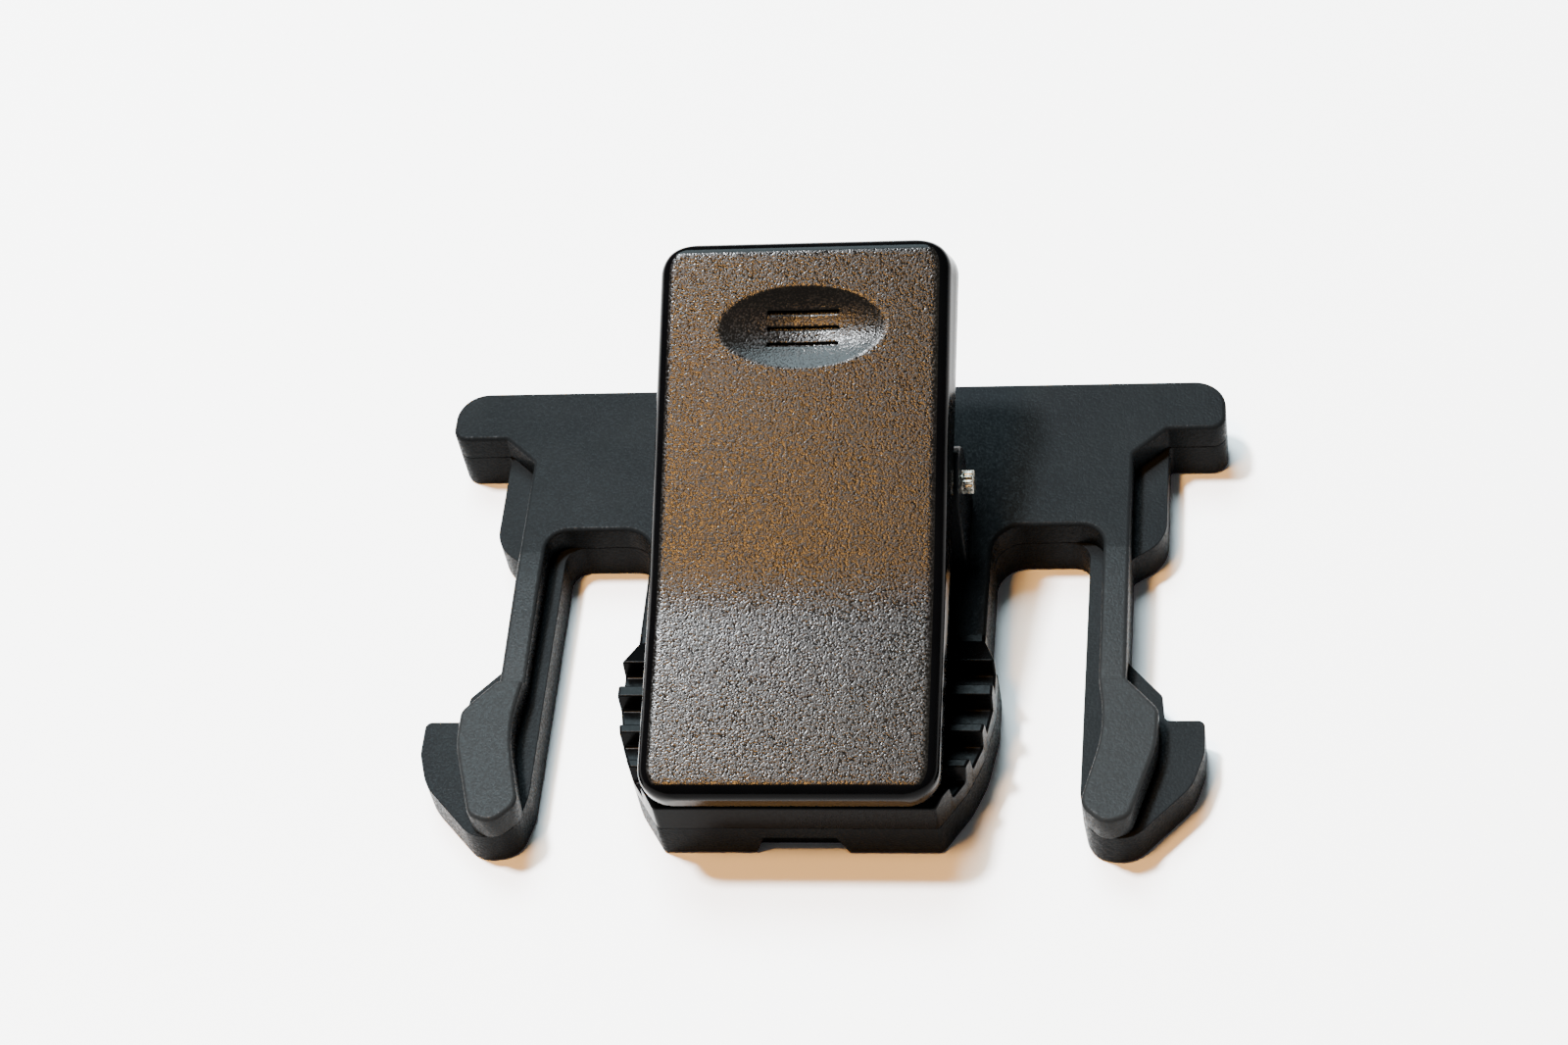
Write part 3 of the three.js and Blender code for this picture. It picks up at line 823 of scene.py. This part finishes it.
def paint_lever_top(bm):
    """Gives the flat top and the dimple the textured finish, and the rest the glossy one.

    Faces count as top when they face along its normal and lie close under its line.
    """
    bm.normal_update()
    for face in bm.faces:
        centre = face.calc_center_median()
        run = REAR_RUN if centre.y > LEVER_BEND.x else FRONT_RUN
        up = Vector((0, -run.y, run.x))
        from_rear = (LEVER_REAR - Vector((centre.y, centre.z))).length
        is_flat = face.normal.dot(up) > 0.975 and top_line_at(centre.y) - centre.z < 0.6
        is_dimple = (
            dimple_depth(centre.x, from_rear) > 0
            and face.normal.dot(up) > 0.5
            and top_line_at(centre.y) - centre.z < 1.1
        )
        face.material_index = 0 if is_flat or is_dimple else 1
    return bm


def make_lever():
    ear = lever_ear()
    parts = [(paint_lever_top(lever_shell()), None), (mirrored_x(ear), 1), (ear, 1)]
    parts += [(grip_rib(y), 1) for y in GRIP_RIBS]
    lever = make_object("thumb_lever", parts, [LEVER_TOP, LEVER_GLOSS])
    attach(lever, "lever")
    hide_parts("lever")
    return lever


# ---------- Pin and spring ----------

def circle(radius, segments):
    """Points round the pivot's axis, as (y, z)."""
    angles = [2 * math.pi * k / segments for k in range(segments)]
    return [Vector((PIVOT_Y + radius * math.cos(a), PIVOT_Z + radius * math.sin(a))) for a in angles]


def make_pin():
    shank = turn_to_x(slab(circle(PIN_RADIUS, 64), rim(PIN_LEFT, KNURL_START, 0.12, 0.03)))
    teeth = []
    steps = KNURL_TEETH * 6
    for k in range(steps):
        angle = 2 * math.pi * k / steps
        radius = PIN_RADIUS - KNURL_DEPTH / 2 * (1 - math.cos(KNURL_TEETH * angle))
        y = PIVOT_Y + radius * math.cos(angle)
        teeth.append(Vector((y, PIVOT_Z + radius * math.sin(angle))))
    knurl = turn_to_x(slab(teeth, rim(KNURL_START - 0.05, PIN_RIGHT, 0.02, 0.14)))
    pin = make_object("pivot_pin_steel", [(shank, 0), (knurl, 0)], [PIN_STEEL], 50)
    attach(pin, "base")
    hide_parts("pivot_pin")
    return pin


def spring_line():
    """The wire's centre line: lower leg, coil, upper leg."""
    upper = math.atan2(REAR_RUN.y, REAR_RUN.x) + UPPER_LEG_TURN
    lower = LOWER_LEG_ANGLE
    first_angle = lower - math.pi / 2
    last_angle = first_angle + 2 * math.pi * COIL_TURNS + (upper - lower) + math.pi

    def on_coil(t):
        angle = first_angle + (last_angle - first_angle) * t
        x = COIL_HALF_WIDTH * (1 - 2 * t)
        y = PIVOT_Y + COIL_RADIUS * math.cos(angle)
        return Vector((x, y, PIVOT_Z + COIL_RADIUS * math.sin(angle)))

    steps = 220
    coil = [on_coil(k / steps) for k in range(steps + 1)]
    lower_run = Vector((0, math.cos(lower), math.sin(lower)))
    upper_run = Vector((0, math.cos(upper), math.sin(upper)))
    start_leg = [coil[0] + lower_run * (SPRING_LEG * k / 12) for k in range(12, 0, -1)]
    end_leg = [coil[-1] + upper_run * (SPRING_LEG * k / 12) for k in range(1, 13)]
    return start_leg + coil + end_leg


def make_spring():
    line = spring_line()
    sections = []
    side = Vector((1, 0, 0))
    for i, point in enumerate(line):
        along = (line[min(i + 1, len(line) - 1)] - line[max(i - 1, 0)]).normalized()
        out = along.cross(side).normalized()
        across = out.cross(along).normalized()
        angles = [2 * math.pi * k / 16 for k in range(16)]
        sections.append([
            point + (across * math.cos(a) + out * math.sin(a)) * WIRE_RADIUS for a in angles
        ])
    bm = loft(sections)
    bmesh.ops.recalc_face_normals(bm, faces=bm.faces)
    spring = make_object("torsion_spring_wire", [(bm, 0)], [SPRING_STEEL], 50)
    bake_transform(spring)
    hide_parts("torsion_spring")
    return spring


# ---------- Stage, light and camera ----------

LIGHT_DISTANCE = 0.8


def make_floor():
    n = Nodes("pale_table")
    tint = n.noise(9, 3, 0.5)
    colour = n.mix(n.ranged(tint, 0.3, 0.7, 0, 1), (0.935, 0.92, 0.915), (0.95, 0.94, 0.935))
    n.link(colour, n.shader.inputs["Base Color"])
    n.shader.inputs["Roughness"].default_value = 0.6
    n.link(n.bump(n.noise(1800, 2, 0.5), 0.2, 0.00003), n.shader.inputs["Normal"])
    mesh = bpy.data.meshes.new("floor")
    half = 1.2
    corners = [(-half, -half, 0), (half, -half, 0), (half, half, 0), (-half, half, 0)]
    mesh.from_pydata(corners, [], [(0, 1, 2, 3)])
    mesh.materials.append(n.material)
    floor = bpy.data.objects.new("floor", mesh)
    bpy.context.scene.collection.objects.link(floor)
    return floor


def studio_light(name, azimuth, elevation, size, power, colour):
    """A square soft light that faces the clip; azimuth 0 is the front and 90 is the right."""
    turn, lift = math.radians(azimuth), math.radians(elevation)
    place = LIGHT_DISTANCE * Vector((
        math.sin(turn) * math.cos(lift),
        -math.cos(turn) * math.cos(lift),
        math.sin(lift),
    ))
    light = bpy.data.lights.new(name, "AREA")
    light.shape = "SQUARE"
    light.size = size
    light.energy = power
    light.color = colour
    obj = bpy.data.objects.new(name, light)
    bpy.context.scene.collection.objects.link(obj)
    obj.location = place
    obj.rotation_euler = (Vector((0, 0, 0.01)) - place).to_track_quat("-Z", "Y").to_euler()
    return obj


def make_world():
    world = bpy.data.worlds.new("studio")
    bpy.context.scene.world = world
    world.use_nodes = True
    background = world.node_tree.nodes["Background"]
    background.inputs["Color"].default_value = (0.95, 0.97, 1.0, 1)
    background.inputs["Strength"].default_value = 0.12


def make_camera():
    """The photograph's viewing angle: a little to the right, high up, and slightly rolled."""
    azimuth, elevation, roll = math.radians(14.909), math.radians(51.519), math.radians(-12.456)
    back = Vector((
        math.sin(azimuth) * math.cos(elevation),
        -math.cos(azimuth) * math.cos(elevation),
        math.sin(elevation),
    ))
    right = (-back).cross(Vector((0, 0, 1))).normalized()
    up = right.cross(-back)
    rolled_right = right * math.cos(roll) + up * math.sin(roll)
    rolled_up = up * math.cos(roll) - right * math.sin(roll)
    aim = Vector((-3.898, 10.777, 0)) * MM
    data = bpy.data.cameras.new("camera")
    data.sensor_width = 36
    data.lens = 78.75
    data.clip_start = 0.01
    camera = bpy.data.objects.new("camera", data)
    bpy.context.scene.collection.objects.link(camera)
    place = aim + back * 250.85 * MM
    rotation = Matrix((rolled_right, rolled_up, back)).transposed().to_4x4()
    camera.matrix_world = Matrix.Translation(place) @ rotation
    bpy.context.scene.camera = camera
    return camera


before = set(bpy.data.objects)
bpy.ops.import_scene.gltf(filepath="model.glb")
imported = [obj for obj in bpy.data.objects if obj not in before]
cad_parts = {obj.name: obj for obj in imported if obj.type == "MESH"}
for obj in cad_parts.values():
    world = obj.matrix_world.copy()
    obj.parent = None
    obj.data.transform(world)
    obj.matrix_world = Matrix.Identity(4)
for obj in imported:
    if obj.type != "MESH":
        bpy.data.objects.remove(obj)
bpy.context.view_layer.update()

make_base()
make_prong("right")
make_prong("left")
make_lever()
make_pin()
make_spring()
make_floor()
make_world()
studio_light("key", 245, 71, 0.08, 30.0, (0.92, 0.96, 1.0))
studio_light("warm", 308, 74, 0.12, 8.2, (1.0, 0.5, 0.14))
studio_light("back", 203, 60, 0.36, 20.0, (0.72, 0.92, 1.0))
make_camera()
